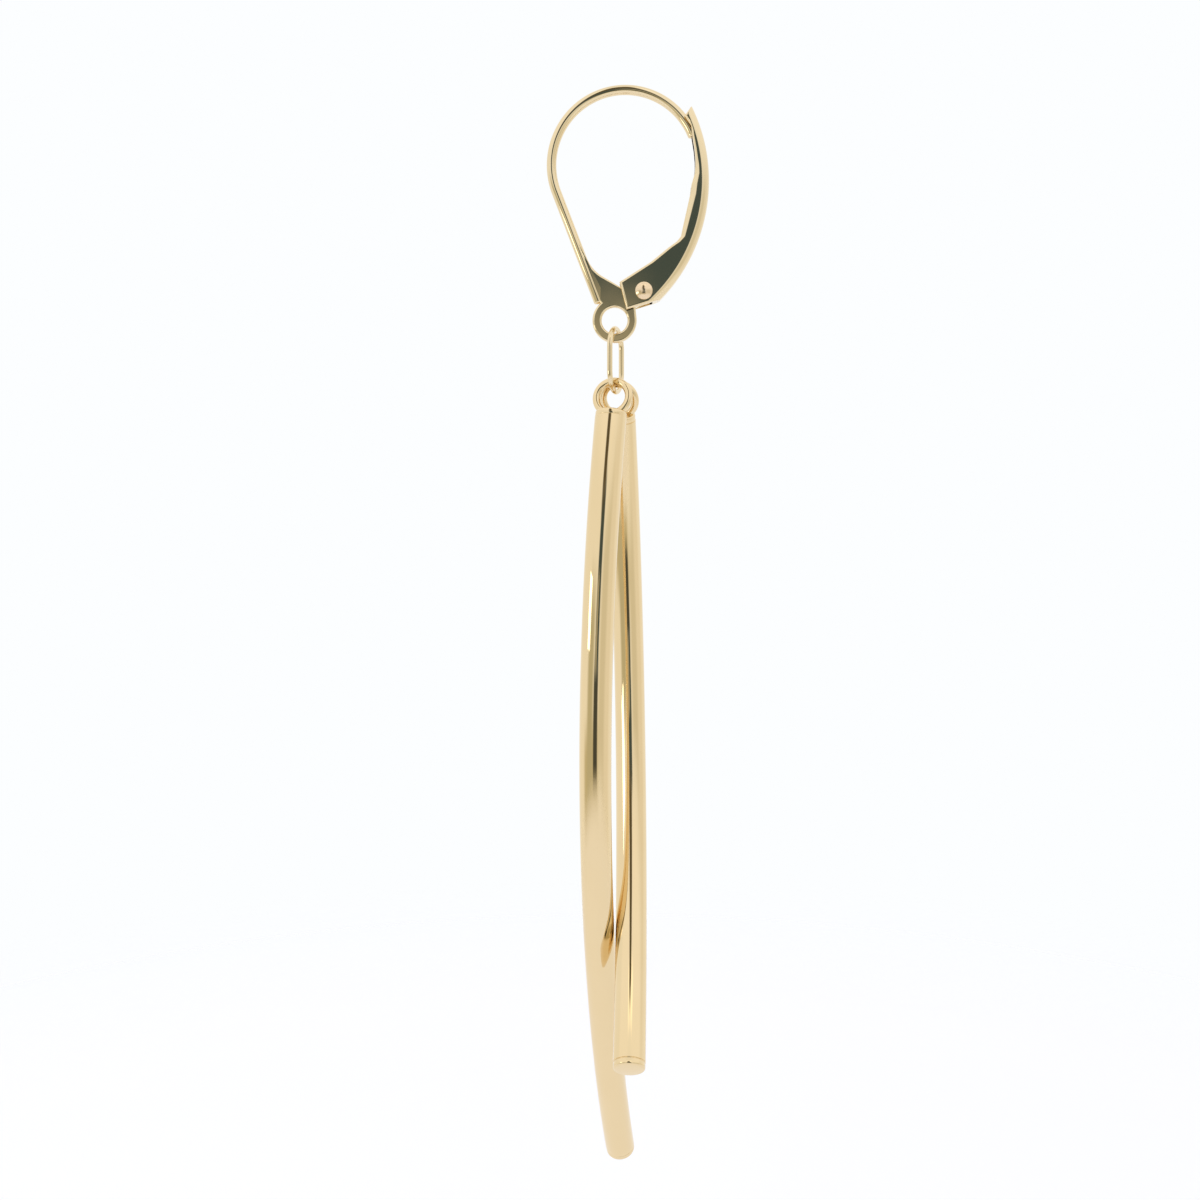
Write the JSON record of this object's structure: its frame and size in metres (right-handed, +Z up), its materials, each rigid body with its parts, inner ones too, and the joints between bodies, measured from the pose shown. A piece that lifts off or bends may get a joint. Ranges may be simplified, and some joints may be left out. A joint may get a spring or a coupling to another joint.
{
  "type": "drop earring",
  "caption": "Leverback drop earring: a hinged ear wire over an oval link that carries a longer and a shorter bent round tube, crossing low down.",
  "frame": {"origin": "the ear seat: the inside of the ear wire at the top of its bow, where it sits in the lobe", "axes": "+X towards the wearer's back, +Y across the lobe and away from the picture's viewer, +Z up; the earring hangs along -Z"},
  "size_m": [0.0104, 0.0141, 0.0732],
  "materials": {
    "polished_gold": "polished pale yellow gold",
    "rivet_gold": "polished pale yellow gold, slightly pinker",
    "tube_gold": "mirror-polished pale yellow gold"
  },
  "bodies": {
    "ear_wire": {"ear_wire": "polished_gold", "rivet": "rivet_gold"},
    "lever": {"lever": "polished_gold"},
    "link": {"link": "polished_gold"},
    "long_tube": {"long_tube": "tube_gold"},
    "short_tube": {"short_tube": "tube_gold"}
  },
  "joints": [
    {"name": "lever_hinge", "type": "hinge", "parent": "ear_wire", "child": "lever", "pos_m": [0.00124, 0, -0.01243], "axis": [0, 1, 0], "range_deg": [0, 52]},
    {"name": "link_swing", "type": "hinge", "parent": "ear_wire", "child": "link", "pos_m": [-0.00064, 0, -0.01535], "axis": [1, 0, 0], "range_deg": [-45, 45]},
    {"name": "drop_swing", "type": "hinge", "parent": "link", "child": "long_tube", "pos_m": [-0.00057, 0, -0.01864], "axis": [0.2756, 0.9613, 0], "range_deg": [-30, 30]},
    {"name": "short_tube_swing", "type": "hinge", "parent": "long_tube", "child": "short_tube", "pos_m": [-0.00057, 0, -0.01864], "axis": [-0.2756, -0.9613, 0], "range_deg": [0, 20]}
  ]
}
